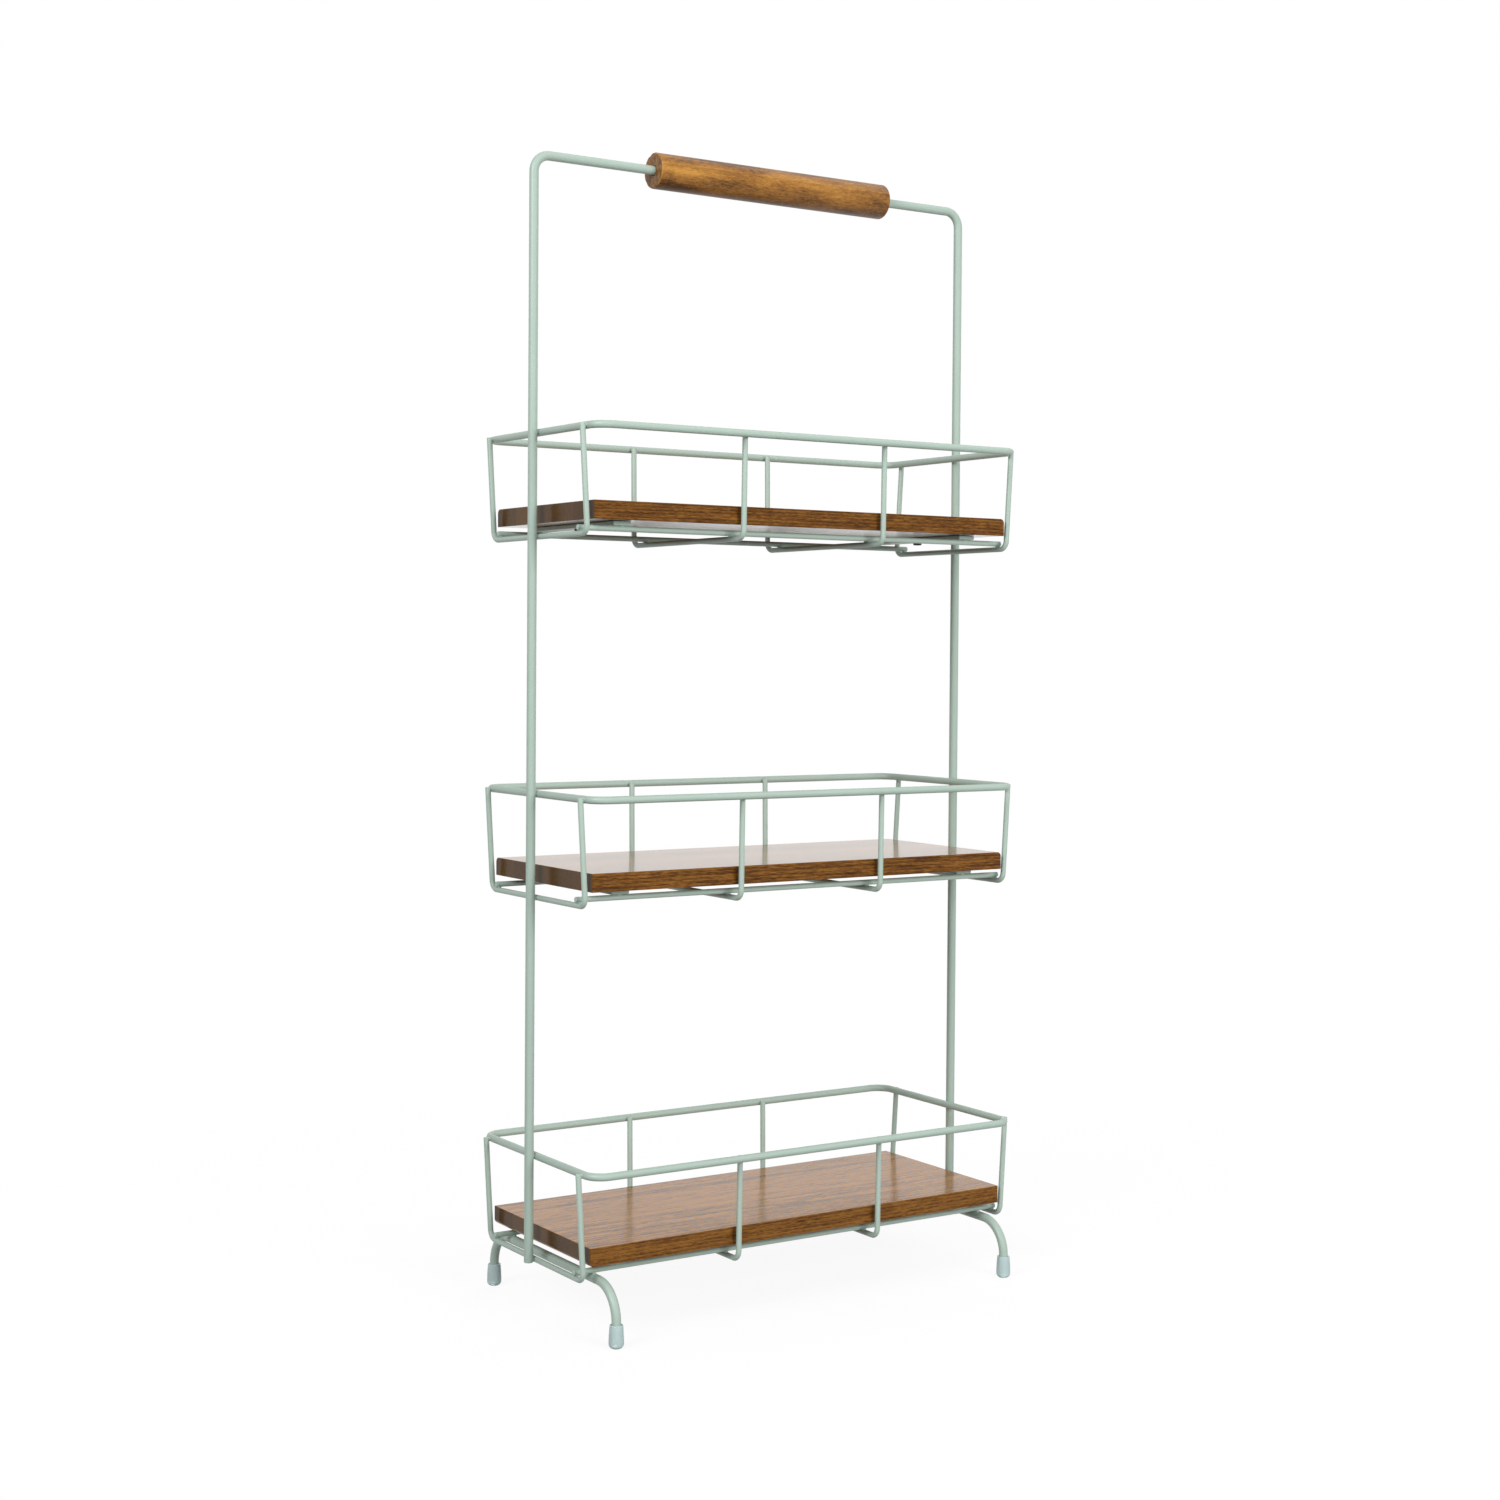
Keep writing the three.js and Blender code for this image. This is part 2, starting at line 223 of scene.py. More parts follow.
class StageSettings(bpy.types.PropertyGroup):
    """Camera and light of the photograph"""

    azimuth: angle("Azimuth", "Turn of the view to the left of the front", 33.116)
    elevation: angle("Elevation", "How far the view looks down", 1.221)
    roll: angle("Roll", "Tilt of the camera about its view", 0.409)
    distance: length("Distance", "From the camera to its target", 1578.2)
    target: FloatVectorProperty(
        name="Target", description="Point that the camera looks at",
        default=(-4.27 * MM, 0, 403.0 * MM), subtype="XYZ", unit="LENGTH",
    )
    lens: FloatProperty(
        name="Lens", description="Focal length in millimetres", default=55.0, min=10,
    )
    shift: FloatProperty(
        name="Shift", description="Vertical shift of the picture, as a share of its width",
        default=-0.0333,
    )
    ambient: factor("Ambient", "Light from all round, where 1 is as bright as the white floor", 0.3)
    bounce: factor("Bounce", "Share of the light that the floor throws back up", 0.28)
    shadow: factor("Shadow", "Share of the floor's shade that the camera sees", 0.1)


class ShelfStandSettings(bpy.types.PropertyGroup):
    """Sizes and colours of the shelf stand"""

    wires: PointerProperty(type=WireSettings)
    strips: PointerProperty(type=StripSettings)
    boards: PointerProperty(type=BoardSettings)
    grip: PointerProperty(type=GripSettings)
    caps: PointerProperty(type=CapSettings)
    screws: PointerProperty(type=ScrewSettings)
    finishes: PointerProperty(type=FinishSettings)
    stage: PointerProperty(type=StageSettings)


# Materials


def fill_inputs(tree, node, inputs):
    """Gives a node's inputs, by name or by order, values or links.

    A node that stands as a value is linked by its first output that is in use.
    """
    for name, value in inputs.items() if isinstance(inputs, dict) else enumerate(inputs):
        if isinstance(value, bpy.types.Node):
            value = next(socket for socket in value.outputs if socket.enabled)
        if isinstance(value, bpy.types.NodeSocket):
            tree.links.new(value, node.inputs[name])
        else:
            node.inputs[name].default_value = value


def add_node(tree, kind, inputs=(), **settings):
    """Adds a shader node with its settings, values and links."""
    node = tree.nodes.new(kind)
    for name, value in settings.items():
        setattr(node, name, value)
    fill_inputs(tree, node, inputs)
    return node


def per_metre(millimetres):
    """How often a pattern of this size comes in a metre, which is a texture's scale."""
    return 1 / (millimetres * MM)


# Sockets of a Mix node that mixes colours
MIX_A, MIX_B = 6, 7


def powder_coat(tree, place, stand):
    """Polyester powder coat baked on steel: an even satin skin with a faint orange peel."""
    finishes = stand.finishes
    cloud = add_node(tree, "ShaderNodeTexNoise", {"Vector": place, "Scale": per_metre(35), "Detail": 3})
    tone = add_node(
        tree, "ShaderNodeMix", {0: cloud, MIX_A: finishes.paint_thin, MIX_B: finishes.paint},
        data_type="RGBA",
    )
    # Orange peel is about 1 mm across, and its height only a few micrometres.
    peel = add_node(tree, "ShaderNodeTexNoise", {"Vector": place, "Scale": per_metre(1.1), "Detail": 2})
    gloss = add_node(tree, "ShaderNodeMapRange", {"Value": peel, "To Min": 0.34, "To Max": 0.46})
    bump = add_node(
        tree, "ShaderNodeBump", {"Height": peel, "Strength": 0.12, "Distance": 0.05 * MM},
    )
    return {"Base Color": tone, "Roughness": gloss, "Normal": bump, "IOR": 1.5}


# A wave texture draws 20 radians a metre at a scale of 1.
WAVE_PERIOD = 2 * math.pi / 20
# Where a wood's dark, middle and light tones stand, from 0 to 1
TONE_STOPS = (0.2, 0.5, 0.8)


def stained_grain(tree, log_place, ring, fibre, cloud, draw, lift, tones):
    """Stained wood cut along its grain: its colour, and the height of its fibres.

    log_place is a point in metres from the log's pith, which lies along X. Growth rings run round
    the pith, and fibres and clouds of stain are drawn out along it. Each has a size in millimetres
    and a weight, and draw is how much longer than wide all of them are. lift is added to them: the
    higher it is, the lighter the wood.
    """
    drawn_out = add_node(tree, "ShaderNodeMapping", {"Vector": log_place, "Scale": (1 / draw, 1, 1)})
    rings = add_node(
        tree, "ShaderNodeTexWave",
        {
            "Vector": drawn_out, "Scale": WAVE_PERIOD * per_metre(ring[0]), "Distortion": 5.5,
            "Detail": 3, "Detail Scale": 0.35, "Detail Roughness": 0.6,
        },
        wave_type="RINGS", rings_direction="X", wave_profile="SAW",
    ).outputs["Fac"]
    fibres = add_node(
        tree, "ShaderNodeTexNoise",
        {"Vector": drawn_out, "Scale": per_metre(fibre[0]), "Detail": 4, "Roughness": 0.8},
    )
    clouds = add_node(
        tree, "ShaderNodeTexNoise", {"Vector": drawn_out, "Scale": per_metre(cloud[0]), "Detail": 2},
    )
    tone = lift
    for pattern, (_, weight) in zip((rings, fibres, clouds), (ring, fibre, cloud)):
        tone = add_node(tree, "ShaderNodeMath", (pattern, weight, tone), operation="MULTIPLY_ADD")
    ramp = add_node(tree, "ShaderNodeValToRGB", {"Fac": tone})
    stops = ramp.color_ramp.elements
    stops.new(TONE_STOPS[1])
    for stop, position, colour_there in zip(stops, TONE_STOPS, tones):
        stop.position = position
        stop.color = colour_there
    return ramp, fibres


STAVES = 6  # across a board, the last one cut narrower
LOG_LENGTH = 4.0  # metres of log that the staves were cut from
PITH_SIDE = 60 * MM  # how far from a stave its log's pith may lie, to the side
PITH_DEPTH = 45 * MM  # and below


def board_wood(tree, place, stand):
    """Pine staves, edge-glued, stained walnut and lacquered to a satin shine.

    Rings and fibres run along X and change from stave to stave. End grain drinks more stain, so it
    is darker and greyer, and the sanded arrises are paler.
    """
    finishes = stand.finishes
    low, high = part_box("bottom_board")
    stave_width = stand.boards.stave
    axes = add_node(tree, "ShaderNodeSeparateXYZ", {"Vector": place}).outputs

    # Which stave of which board a point is in, and three lucky numbers for it
    from_front = add_node(tree, "ShaderNodeMath", (axes["Y"], low.y), operation="SUBTRACT")
    across = add_node(tree, "ShaderNodeMath", (from_front, stave_width), operation="DIVIDE")
    stave = add_node(tree, "ShaderNodeMath", (across,), operation="FLOOR")
    storey = add_node(tree, "ShaderNodeMath", (axes["Z"], TIER_PITCH), operation="DIVIDE")
    tier = add_node(tree, "ShaderNodeMath", (storey,), operation="FLOOR")
    lot = add_node(tree, "ShaderNodeMath", (tier, STAVES, stave), operation="MULTIPLY_ADD")
    luck = add_node(tree, "ShaderNodeTexWhiteNoise", {"W": lot}, noise_dimensions="1D")
    lucky = add_node(tree, "ShaderNodeSeparateXYZ", {"Vector": luck.outputs["Color"]}).outputs

    # The same point in its stave's log: the pith lies below the stave, off to one side
    part = add_node(tree, "ShaderNodeMath", (across,), operation="FRACT")
    in_stave = add_node(tree, "ShaderNodeMath", (part, 0.5), operation="SUBTRACT")
    from_middle = add_node(tree, "ShaderNodeMath", (in_stave, stave_width), operation="MULTIPLY")
    over_floor = add_node(
        tree, "ShaderNodeMath", (tier, -TIER_PITCH, axes["Z"]), operation="MULTIPLY_ADD",
    )
    along = add_node(
        tree, "ShaderNodeMath", (lucky["Z"], LOG_LENGTH, axes["X"]), operation="MULTIPLY_ADD",
    )
    side = add_node(
        tree, "ShaderNodeMath", (lucky["X"], PITH_SIDE, from_middle), operation="MULTIPLY_ADD",
    )
    depth = add_node(
        tree, "ShaderNodeMath", (lucky["Y"], PITH_DEPTH, over_floor), operation="MULTIPLY_ADD",
    )
    log_place = add_node(tree, "ShaderNodeCombineXYZ", (along, side, depth))
    # Some staves are lighter than others
    spread, darkest = 0.3, -1.15
    lift = add_node(tree, "ShaderNodeMath", (lucky["Z"], spread, darkest), operation="MULTIPLY_ADD")
    flat_grain, fibres = stained_grain(
        tree, log_place, ring=(2.2, 0.3), fibre=(0.6, 2.1), cloud=(3.5, 0.8), draw=11, lift=lift,
        tones=(finishes.board_dark, finishes.board_mid, finishes.board_light),
    )

    # Sanded arrises, rubbed through unevenly
    arris = add_node(tree, "ShaderNodeAttribute", attribute_name="arris").outputs["Fac"]
    rubbed = add_node(tree, "ShaderNodeTexNoise", {"Vector": place, "Scale": per_metre(6), "Detail": 3})
    worn = add_node(tree, "ShaderNodeMath", (arris, rubbed), operation="MULTIPLY")
    edged = add_node(
        tree, "ShaderNodeMix", {0: worn, MIX_A: flat_grain, MIX_B: finishes.arris}, data_type="RGBA",
    )

    # End grain on the two short faces, speckled, and in a tone of its own on each stave
    reach = add_node(tree, "ShaderNodeMath", (axes["X"],), operation="ABSOLUTE")
    fade_start = high.x - 0.4 * MM
    fade_end = high.x - 0.1 * MM
    on_end = add_node(
        tree, "ShaderNodeMapRange",
        {"Value": reach, "From Min": fade_start, "From Max": fade_end, "To Max": 0.9},
    )
    speckle = add_node(
        tree, "ShaderNodeTexNoise", {"Vector": place, "Scale": per_metre(2.2), "Detail": 3},
    )
    stave_weight, speckle_weight, darkest_end = 0.6, 0.5, -0.05
    band = add_node(
        tree, "ShaderNodeMath", (lucky["X"], stave_weight, darkest_end), operation="MULTIPLY_ADD",
    )
    end_tone = add_node(
        tree, "ShaderNodeMath", (speckle, speckle_weight, band), operation="MULTIPLY_ADD",
    )
    end_grain = add_node(
        tree, "ShaderNodeMix",
        {0: end_tone, MIX_A: finishes.board_end_dark, MIX_B: finishes.board_end}, data_type="RGBA",
    )
    wood = add_node(
        tree, "ShaderNodeMix", {0: on_end, MIX_A: edged, MIX_B: end_grain}, data_type="RGBA",
    )

    # Glue lines between the staves, drawn 0.5 mm wide, with soft sides, so that they show
    to_middle = add_node(tree, "ShaderNodeMath", (in_stave,), operation="ABSOLUTE")
    glue_start = 0.5 - 0.35 * MM / stave_width
    glue_end = 0.5 - 0.15 * MM / stave_width
    glue = add_node(
        tree, "ShaderNodeMapRange",
        {"Value": to_middle, "From Min": glue_start, "From Max": glue_end, "To Max": 0.45},
    )
    glued = add_node(
        tree, "ShaderNodeMix", {0: glue, MIX_A: wood, MIX_B: finishes.board_dark}, data_type="RGBA",
    )
    gloss = add_node(tree, "ShaderNodeMapRange", {"Value": fibres, "To Min": 0.18, "To Max": 0.32})
    bump = add_node(
        tree, "ShaderNodeBump", {"Height": fibres, "Strength": 0.08, "Distance": 0.1 * MM},
    )
    # The lacquer shines mostly at a low angle.
    return {
        "Base Color": glued, "Roughness": gloss, "Normal": bump, "IOR": 1.5, "Specular IOR Level": 0.07,
        "Coat Weight": 0.95, "Coat Roughness": 0.13, "Coat IOR": 1.12, "Coat Normal": bump,
    }


# From the grip's axis to the pith of its log. It was turned from the edge of the log, so the pith is
# outside it.
GRIP_PITH = Vector((0, 9 * MM, 21 * MM))


def grip_wood(tree, place, stand):
    """Beech dowel, stained and wiped: long flecks, cloudy stain, dark ends with a pale arris."""
    finishes = stand.finishes
    low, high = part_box("handle_grip")
    pith = (low + high) / 2 + GRIP_PITH
    log_place = add_node(tree, "ShaderNodeVectorMath", (place, pith), operation="SUBTRACT")
    axes = add_node(tree, "ShaderNodeSeparateXYZ", {"Vector": log_place}).outputs
    # Painted shade: the grip is drawn darker towards its top and its underside than at its front and
    # rear, so that it looks rounded as it would under light
    from_axis = add_node(tree, "ShaderNodeMath", (axes["Z"], GRIP_PITH.z), operation="ADD")
    height = add_node(tree, "ShaderNodeMath", (from_axis,), operation="ABSOLUTE")
    lift = add_node(
        tree, "ShaderNodeMapRange",
        {"Value": height, "From Max": (high.z - low.z) / 2, "To Min": -0.46, "To Max": -0.74},
    )
    flat_grain, fibres = stained_grain(
        tree, log_place, ring=(4.5, 0.1), fibre=(1.0, 1.1), cloud=(9, 0.9), draw=4, lift=lift,
        tones=(finishes.grip_dark, finishes.grip_mid, finishes.grip_light),
    )

    # Dark end grain, with paler blotches
    reach = add_node(tree, "ShaderNodeMath", (axes["X"],), operation="ABSOLUTE")
    end = (high.x - low.x) / 2
    fade_start = end - 0.9 * MM
    fade_end = end - 0.1 * MM
    on_end = add_node(
        tree, "ShaderNodeMapRange",
        {"Value": reach, "From Min": fade_start, "From Max": fade_end, "To Max": 0.9},
    )
    blotches = add_node(
        tree, "ShaderNodeTexNoise", {"Vector": place, "Scale": per_metre(3), "Detail": 2},
    )
    drink = add_node(tree, "ShaderNodeMapRange", {"Value": blotches, "From Min": 0.4, "From Max": 0.65})
    end_grain = add_node(
        tree, "ShaderNodeMix", {0: drink, MIX_A: finishes.grip_end, MIX_B: finishes.grip_mid},
        data_type="RGBA",
    )
    ended = add_node(
        tree, "ShaderNodeMix", {0: on_end, MIX_A: flat_grain, MIX_B: end_grain}, data_type="RGBA",
    )

    # Arrises, rubbed pale in patches
    arris = add_node(tree, "ShaderNodeAttribute", attribute_name="arris").outputs["Fac"]
    rubbed = add_node(tree, "ShaderNodeTexNoise", {"Vector": place, "Scale": per_metre(4), "Detail": 2})
    patches = add_node(
        tree, "ShaderNodeMapRange", {"Value": rubbed, "From Min": 0.38, "From Max": 0.55, "To Max": 0.9},
    )
    worn = add_node(tree, "ShaderNodeMath", (arris, patches), operation="MULTIPLY")
    wood = add_node(
        tree, "ShaderNodeMix", {0: worn, MIX_A: ended, MIX_B: finishes.grip_light}, data_type="RGBA",
    )
    gloss = add_node(tree, "ShaderNodeMapRange", {"Value": fibres, "To Min": 0.32, "To Max": 0.46})
    bump = add_node(
        tree, "ShaderNodeBump", {"Height": fibres, "Strength": 0.3, "Distance": 0.15 * MM},
    )
    return {
        "Base Color": wood, "Roughness": gloss, "Normal": bump, "IOR": 1.5, "Specular IOR Level": 0.32,
    }


def soft_vinyl(tree, place, stand):
    """Dip-moulded clear vinyl: soft, cloudy, lets the leg show through faintly."""
    mist = add_node(tree, "ShaderNodeTexNoise", {"Vector": place, "Scale": per_metre(2.5), "Detail": 2})
    gloss = add_node(tree, "ShaderNodeMapRange", {"Value": mist, "To Min": 0.35, "To Max": 0.5})
    return {
        "Base Color": stand.finishes.cap, "Roughness": gloss, "IOR": 1.52, "Transmission Weight": 0.3,
    }


def black_phosphate(tree, place, stand):
    """Steel screw, phosphated black and oiled: dull, with a fine crystal grain."""
    # The crystals are drawn 0.4 mm wide so that they show.
    grain = add_node(tree, "ShaderNodeTexNoise", {"Vector": place, "Scale": per_metre(0.4), "Detail": 2})
    gloss = add_node(tree, "ShaderNodeMapRange", {"Value": grain, "To Min": 0.35, "To Max": 0.6})
    return {"Base Color": stand.finishes.screw, "Roughness": gloss, "Metallic": 0.3}


# For each of the record's slots, the material's name, and the function that adds the material's nodes
# and gives the inputs of its shader
FINISHES = {
    "sage_paint": ("sage_powder_coat", powder_coat),
    "board_wood": ("walnut_stained_pine", board_wood),
    "grip_wood": ("walnut_stained_beech", grip_wood),
    "foot_cap": ("clear_soft_vinyl", soft_vinyl),
    "black_screw": ("black_phosphated_steel", black_phosphate),
}


def finish(slot):
    """The material of a slot, which is built the first time."""
    name, build = FINISHES[slot]
    material = bpy.data.materials.get(name)
    if material is None:
        material = bpy.data.materials.new(name)
        material.use_nodes = True
        tree = material.node_tree
        place = add_node(tree, "ShaderNodeTexCoord").outputs["Object"]
        surface = build(tree, place, bpy.context.scene.shelf_stand)
        fill_inputs(tree, tree.nodes["Principled BSDF"], surface)
    return material


# Shaping


def loop_edges(verts):
    """The edges that join these vertices to each other."""
    chosen = set(verts)
    return [e for e in {e for v in verts for e in v.link_edges} if chosen.issuperset(e.verts)]


def pull(bm, edges, travel):
    """Extrudes a loop of edges straight along travel and returns the new loop."""
    made = bmesh.ops.extrude_edge_only(bm, edges=edges)["geom"]
    verts = [g for g in made if isinstance(g, bmesh.types.BMVert)]
    bmesh.ops.translate(bm, vec=travel, verts=verts)
    return loop_edges(verts)


def round_off(bm, geometry, radius, segments, affect="EDGES"):
    bmesh.ops.bevel(
        bm, geom=geometry, offset=radius, segments=segments, profile=0.5, affect=affect, material=-1,
    )


def bend_wire(corners, bend, diameter, closed=False):
    """A round wire: its section is pulled down the straight runs and spun round the bends."""
    wires = bpy.context.scene.shelf_stand.wires
    bm = bmesh.new()
    heading = corners[1] - corners[0]
    facing = Z_AXIS.rotation_difference(heading).to_matrix().to_4x4()
    section = bmesh.ops.create_circle(
        bm, segments=wires.sides, radius=diameter / 2, matrix=Matrix.Translation(corners[0]) @ facing,
    )
    start = loop_edges(section["verts"])
    edges = start
    spot = corners[0]
    for before, corner, after in zip(corners, corners[1:], corners[2:]):
        inward = (corner - before).normalized()
        outward = (after - corner).normalized()
        turn = inward.angle(outward)
        setback = bend * math.tan(turn / 2)
        bend_start = corner - inward * setback
        edges = pull(bm, edges, bend_start - spot)
        side = (outward - inward * outward.dot(inward)).normalized()
        spun = bmesh.ops.spin(
            bm, geom=edges, cent=bend_start + side * bend, axis=inward.cross(outward).normalized(),
            angle=turn, steps=round(wires.bend_steps * turn / (math.pi / 2)),
        )
        edges = [g for g in spun["geom_last"] if isinstance(g, bmesh.types.BMEdge)]
        spot = corner + outward * setback
    edges = pull(bm, edges, corners[-1] - spot)
    if closed:
        bmesh.ops.remove_doubles(bm, verts=bm.verts, dist=MERGE)
    else:
        for end in (start, edges):
            bmesh.ops.contextual_create(bm, geom=end)
        round_off(bm, start + edges, wires.cut_edge, segments=3)
    return bm


def u_shape(tip, corner, axis):
    """The corners of a U, from the mirror image of its tip along an axis round to the tip."""
    mirror = Matrix.Scale(-1, 3, axis)
    return [mirror @ tip, mirror @ corner, corner, tip]


def draw_profile(points, closed=False):
    """Vertices joined in order, to be rounded and then turned by spin_profile."""
    bm = bmesh.new()
    verts = [bm.verts.new(p) for p in points]
    ends = verts[1:] + verts[:1] if closed else verts[1:]
    for a, b in zip(verts, ends):
        bm.edges.new((a, b))
    return bm, verts


def spin_profile(bm, centre, axis, steps):
    """Turns a profile once round an axis."""
    bmesh.ops.spin(
        bm, geom=bm.verts[:] + bm.edges[:], cent=centre, axis=axis, angle=2 * math.pi, steps=steps,
        use_merge=True,
    )
    bmesh.ops.remove_doubles(bm, verts=bm.verts, dist=MERGE)


def slab(low, high):
    bm = bmesh.new()
    place = Matrix.LocRotScale((low + high) / 2, None, high - low)
    bmesh.ops.create_cube(bm, size=1, matrix=place)
    return bm


def sharp_edges(bm):
    return [e for e in bm.edges if e.calc_face_angle(0) > SHARP_ANGLE]


HOLE_SIDES = 20


def pierce(bm, face, places, radius):
    """Cuts round holes in a flat face and returns the rims of the holes."""
    outline = list(face.edges)
    bmesh.ops.delete(bm, geom=[face], context="FACES_ONLY")
    rims = []
    for place in places:
        circle = bmesh.ops.create_circle(
            bm, segments=HOLE_SIDES, radius=radius, matrix=Matrix.Translation(place),
        )
        rims.append(loop_edges(circle["verts"]))
    bmesh.ops.triangle_fill(bm, use_beauty=True, edges=outline + sum(rims, []))
    return rims


def mark_arrises(bm, turned=False):
    """Gives the vertices of rounded edges an attribute that the wood's finish reads.

    A turned piece has only a round side, about X, and two flat ends.
    """
    layer = bm.verts.layers.float.new("arris")
    bm.normal_update()
    full = 1 - math.cos(math.pi / 4)  # half way round an edge
    for vert in bm.verts:
        along, *across = (abs(c) for c in vert.normal)
        side = math.hypot(*across) if turned else max(across)
        vert[layer] = min(1, (1 - max(along, side)) / full)


def add_piece(name, bm, slot, body, *nodes):
    """Makes a piece in its slot's finish, riding on its body in place of its nodes."""
    bmesh.ops.recalc_face_normals(bm, faces=bm.faces)
    mesh = bpy.data.meshes.new(name)
    bm.to_mesh(mesh)
    bm.free()
    mesh.shade_smooth()
    mesh.set_sharp_from_angle(angle=SHARP_ANGLE)
    mesh.materials.append(finish(slot))
    piece = bpy.data.objects.new(name, mesh)
    bpy.context.scene.collection.objects.link(piece)
    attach(piece, body)
    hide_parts(*nodes)
    return piece


def keep_flats(piece):
    """Lets the large flat faces rule the shading of the rounded edges beside them."""
    piece.modifiers.new("flat faces", "WEIGHTED_NORMAL").keep_sharp = True


# Operators


class SHELF_STAND_OT_carrying_frame(bpy.types.Operator):
    """Bends the carrying frame from one thick wire, with a cut end under each side"""

    bl_idname = "shelf_stand.carrying_frame"
    bl_label = "Carrying frame"

    def execute(self, context):
        low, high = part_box("carrying_frame")
        tip = Vector((high.x - MAIN_WIRE / 2, 0, low.z))
        corner = Vector((tip.x, 0, high.z - MAIN_WIRE / 2))
        bend = context.scene.shelf_stand.wires.frame_bend
        bm = bend_wire(u_shape(tip, corner, X_AXIS), bend, MAIN_WIRE)
        add_piece("carrying_frame_wire", bm, "sage_paint", "stand", "carrying_frame")
        return {"FINISHED"}


class SHELF_STAND_OT_rims(bpy.types.Operator):
    """Bends the closed rim of each tray"""

    bl_idname = "shelf_stand.rims"
    bl_label = "Rims"

    def execute(self, context):
        bend = context.scene.shelf_stand.wires.rim_corner
        for tier in TIERS:
            node = f"{tier}_rim"
            x, y = box_size(node).xy / 2 - Vector((RIM_WIRE, RIM_WIRE)) / 2
            z = box_middle(node).z
            corners = [
                Vector((0, y, z)),
                Vector((-x, y, z)),
                Vector((-x, -y, z)),
                Vector((x, -y, z)),
                Vector((x, y, z)),
                Vector((0, y, z)),
            ]
            bm = bend_wire(corners, bend, RIM_WIRE, closed=True)
            add_piece(f"{node}_wire", bm, "sage_paint", "stand", node)
        return {"FINISHED"}


class SHELF_STAND_OT_hoops(bpy.types.Operator):
    """Bends the four U-shaped hoops of each tray: the end ones lean out, the mid ones lean in"""

    bl_idname = "shelf_stand.hoops"
    bl_label = "Hoops"

    def execute(self, context):
        wires = context.scene.shelf_stand.wires
        radius = HOOP_WIRE / 2
        for tier in TIERS:
            for side, sign in LEFT_RIGHT.items():
                end = f"{tier}_end_hoop_{side}"
                low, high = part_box(end)
                inner, outer = sorted((abs(low.x), abs(high.x)))
                head = Vector((sign * (outer - radius), high.y - radius, high.z))
                foot = Vector((sign * (inner + radius), head.y, low.z + radius))
                self.add_hoop(end, head, foot, wires.hoop_bend)
                mid = f"{tier}_mid_hoop_{side}"
                low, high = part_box(mid)
                head = Vector((box_middle(mid).x, high.y - radius, high.z))
                foot = Vector((head.x, head.y - wires.mid_hoop_lean, low.z + radius))
                self.add_hoop(mid, head, foot, wires.hoop_bend)
        return {"FINISHED"}

    def add_hoop(self, node, head, foot, bend):
        """A hoop whose rear post runs from head to foot, and its front post alike."""
        # A leaning post's cut end is tilted, so its middle is a little lower than its highest point.
        lean = Vector((head.x - foot.x, head.y - foot.y)).length / (head.z - foot.z)
        head = head - Z_AXIS * (HOOP_WIRE / 2 * lean)
        bm = bend_wire(u_shape(head, foot, Y_AXIS), bend, HOOP_WIRE)
        add_piece(f"{node}_wire", bm, "sage_paint", "stand", node)


class SHELF_STAND_OT_rails(bpy.types.Operator):
    """Cuts the two straight rails that lie on each tray's hoops"""

    bl_idname = "shelf_stand.rails"
    bl_label = "Rails"

    def execute(self, context):
        for tier in TIERS:
            for place in FRONT_REAR:
                node = f"{tier}_rail_{place}"
                middle = box_middle(node)
                reach = X_AXIS * (box_size(node).x / 2)
                bm = bend_wire([middle - reach, middle + reach], 0, HOOP_WIRE)
                add_piece(f"{node}_wire", bm, "sage_paint", "stand", node)
        return {"FINISHED"}


class SHELF_STAND_OT_strips(bpy.types.Operator):
    """Cuts and drills the two flat strips that carry each board"""

    bl_idname = "shelf_stand.strips"
    bl_label = "Cross strips"

    def execute(self, context):
        strips = context.scene.shelf_stand.strips
        for tier in TIERS:
            for side in LEFT_RIGHT:
                node = f"{tier}_strip_{side}"
                low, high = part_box(node)
                bm = slab(low, high)
                upright = [e for e in bm.edges if abs(e.verts[0].co.z - e.verts[1].co.z) > MERGE]
                round_off(bm, upright, strips.corner, segments=4)
                round_off(bm, sharp_edges(bm), strips.edge, segments=3)
                self.drill(bm, box_middle(f"{tier}_screw_{side}"), (low.z, high.z), strips.hole / 2)
                piece = add_piece(f"{node}_bar", bm, "sage_paint", "stand", node)
                keep_flats(piece)
        return {"FINISHED"}

    def drill(self, bm, screw, heights, radius):
        """Drills the screw's hole right through a strip."""
        rims = []
        for z in heights:
            face = min(bm.faces, key=lambda f: abs(f.calc_center_median().z - z))
            rims += pierce(bm, face, [Vector((screw.x, screw.y, z))], radius)
        bmesh.ops.bridge_loops(bm, edges=sum(rims, []))


